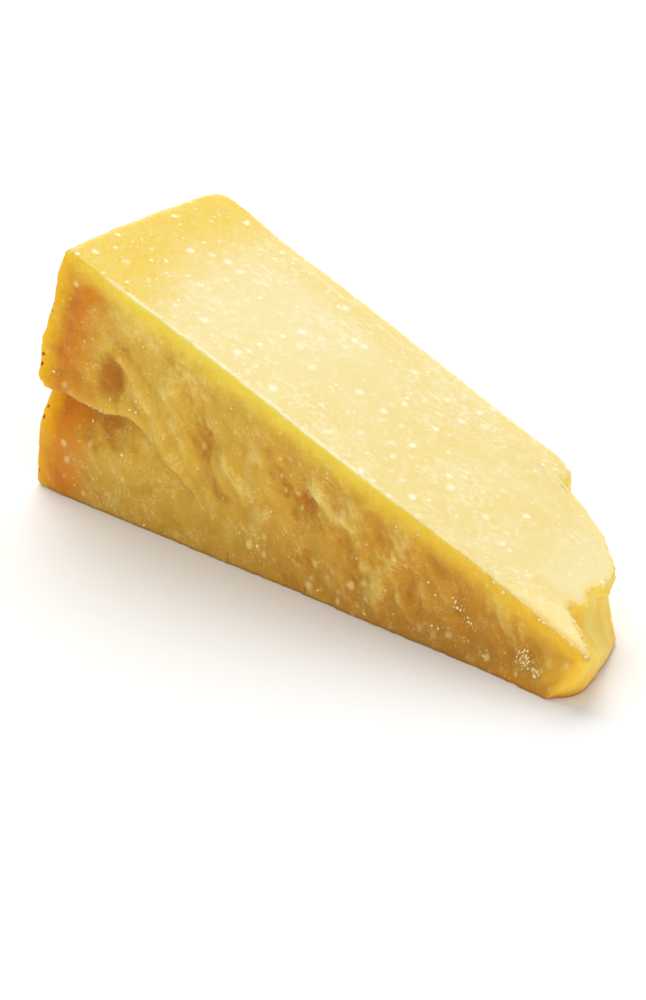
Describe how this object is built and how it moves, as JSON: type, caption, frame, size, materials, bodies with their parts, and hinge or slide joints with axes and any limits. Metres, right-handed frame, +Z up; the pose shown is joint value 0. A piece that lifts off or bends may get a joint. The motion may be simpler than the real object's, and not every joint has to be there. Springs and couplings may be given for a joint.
{
  "type": "parmesan chunk",
  "caption": "Wedge-shaped chunk of hard aged cheese lying on its flat cut side, with a rind at the thick end and craggy broken faces.",
  "frame": {"origin": "middle of the bounding box of the underside, on the surface that the chunk lies on", "axes": "+X along the length from the rind to the broken thin end, +Y from the front break to the back break, +Z up"},
  "size_m": [0.1798, 0.06, 0.067],
  "materials": {
    "cheese": "pale straw-yellow cut cheese with a slight waxy sheen, white crystals, and an amber broken face; golden-brown rind with pin-dots"
  },
  "bodies": {
    "root": {"parmesan_chunk": "cheese"}
  },
  "joints": []
}
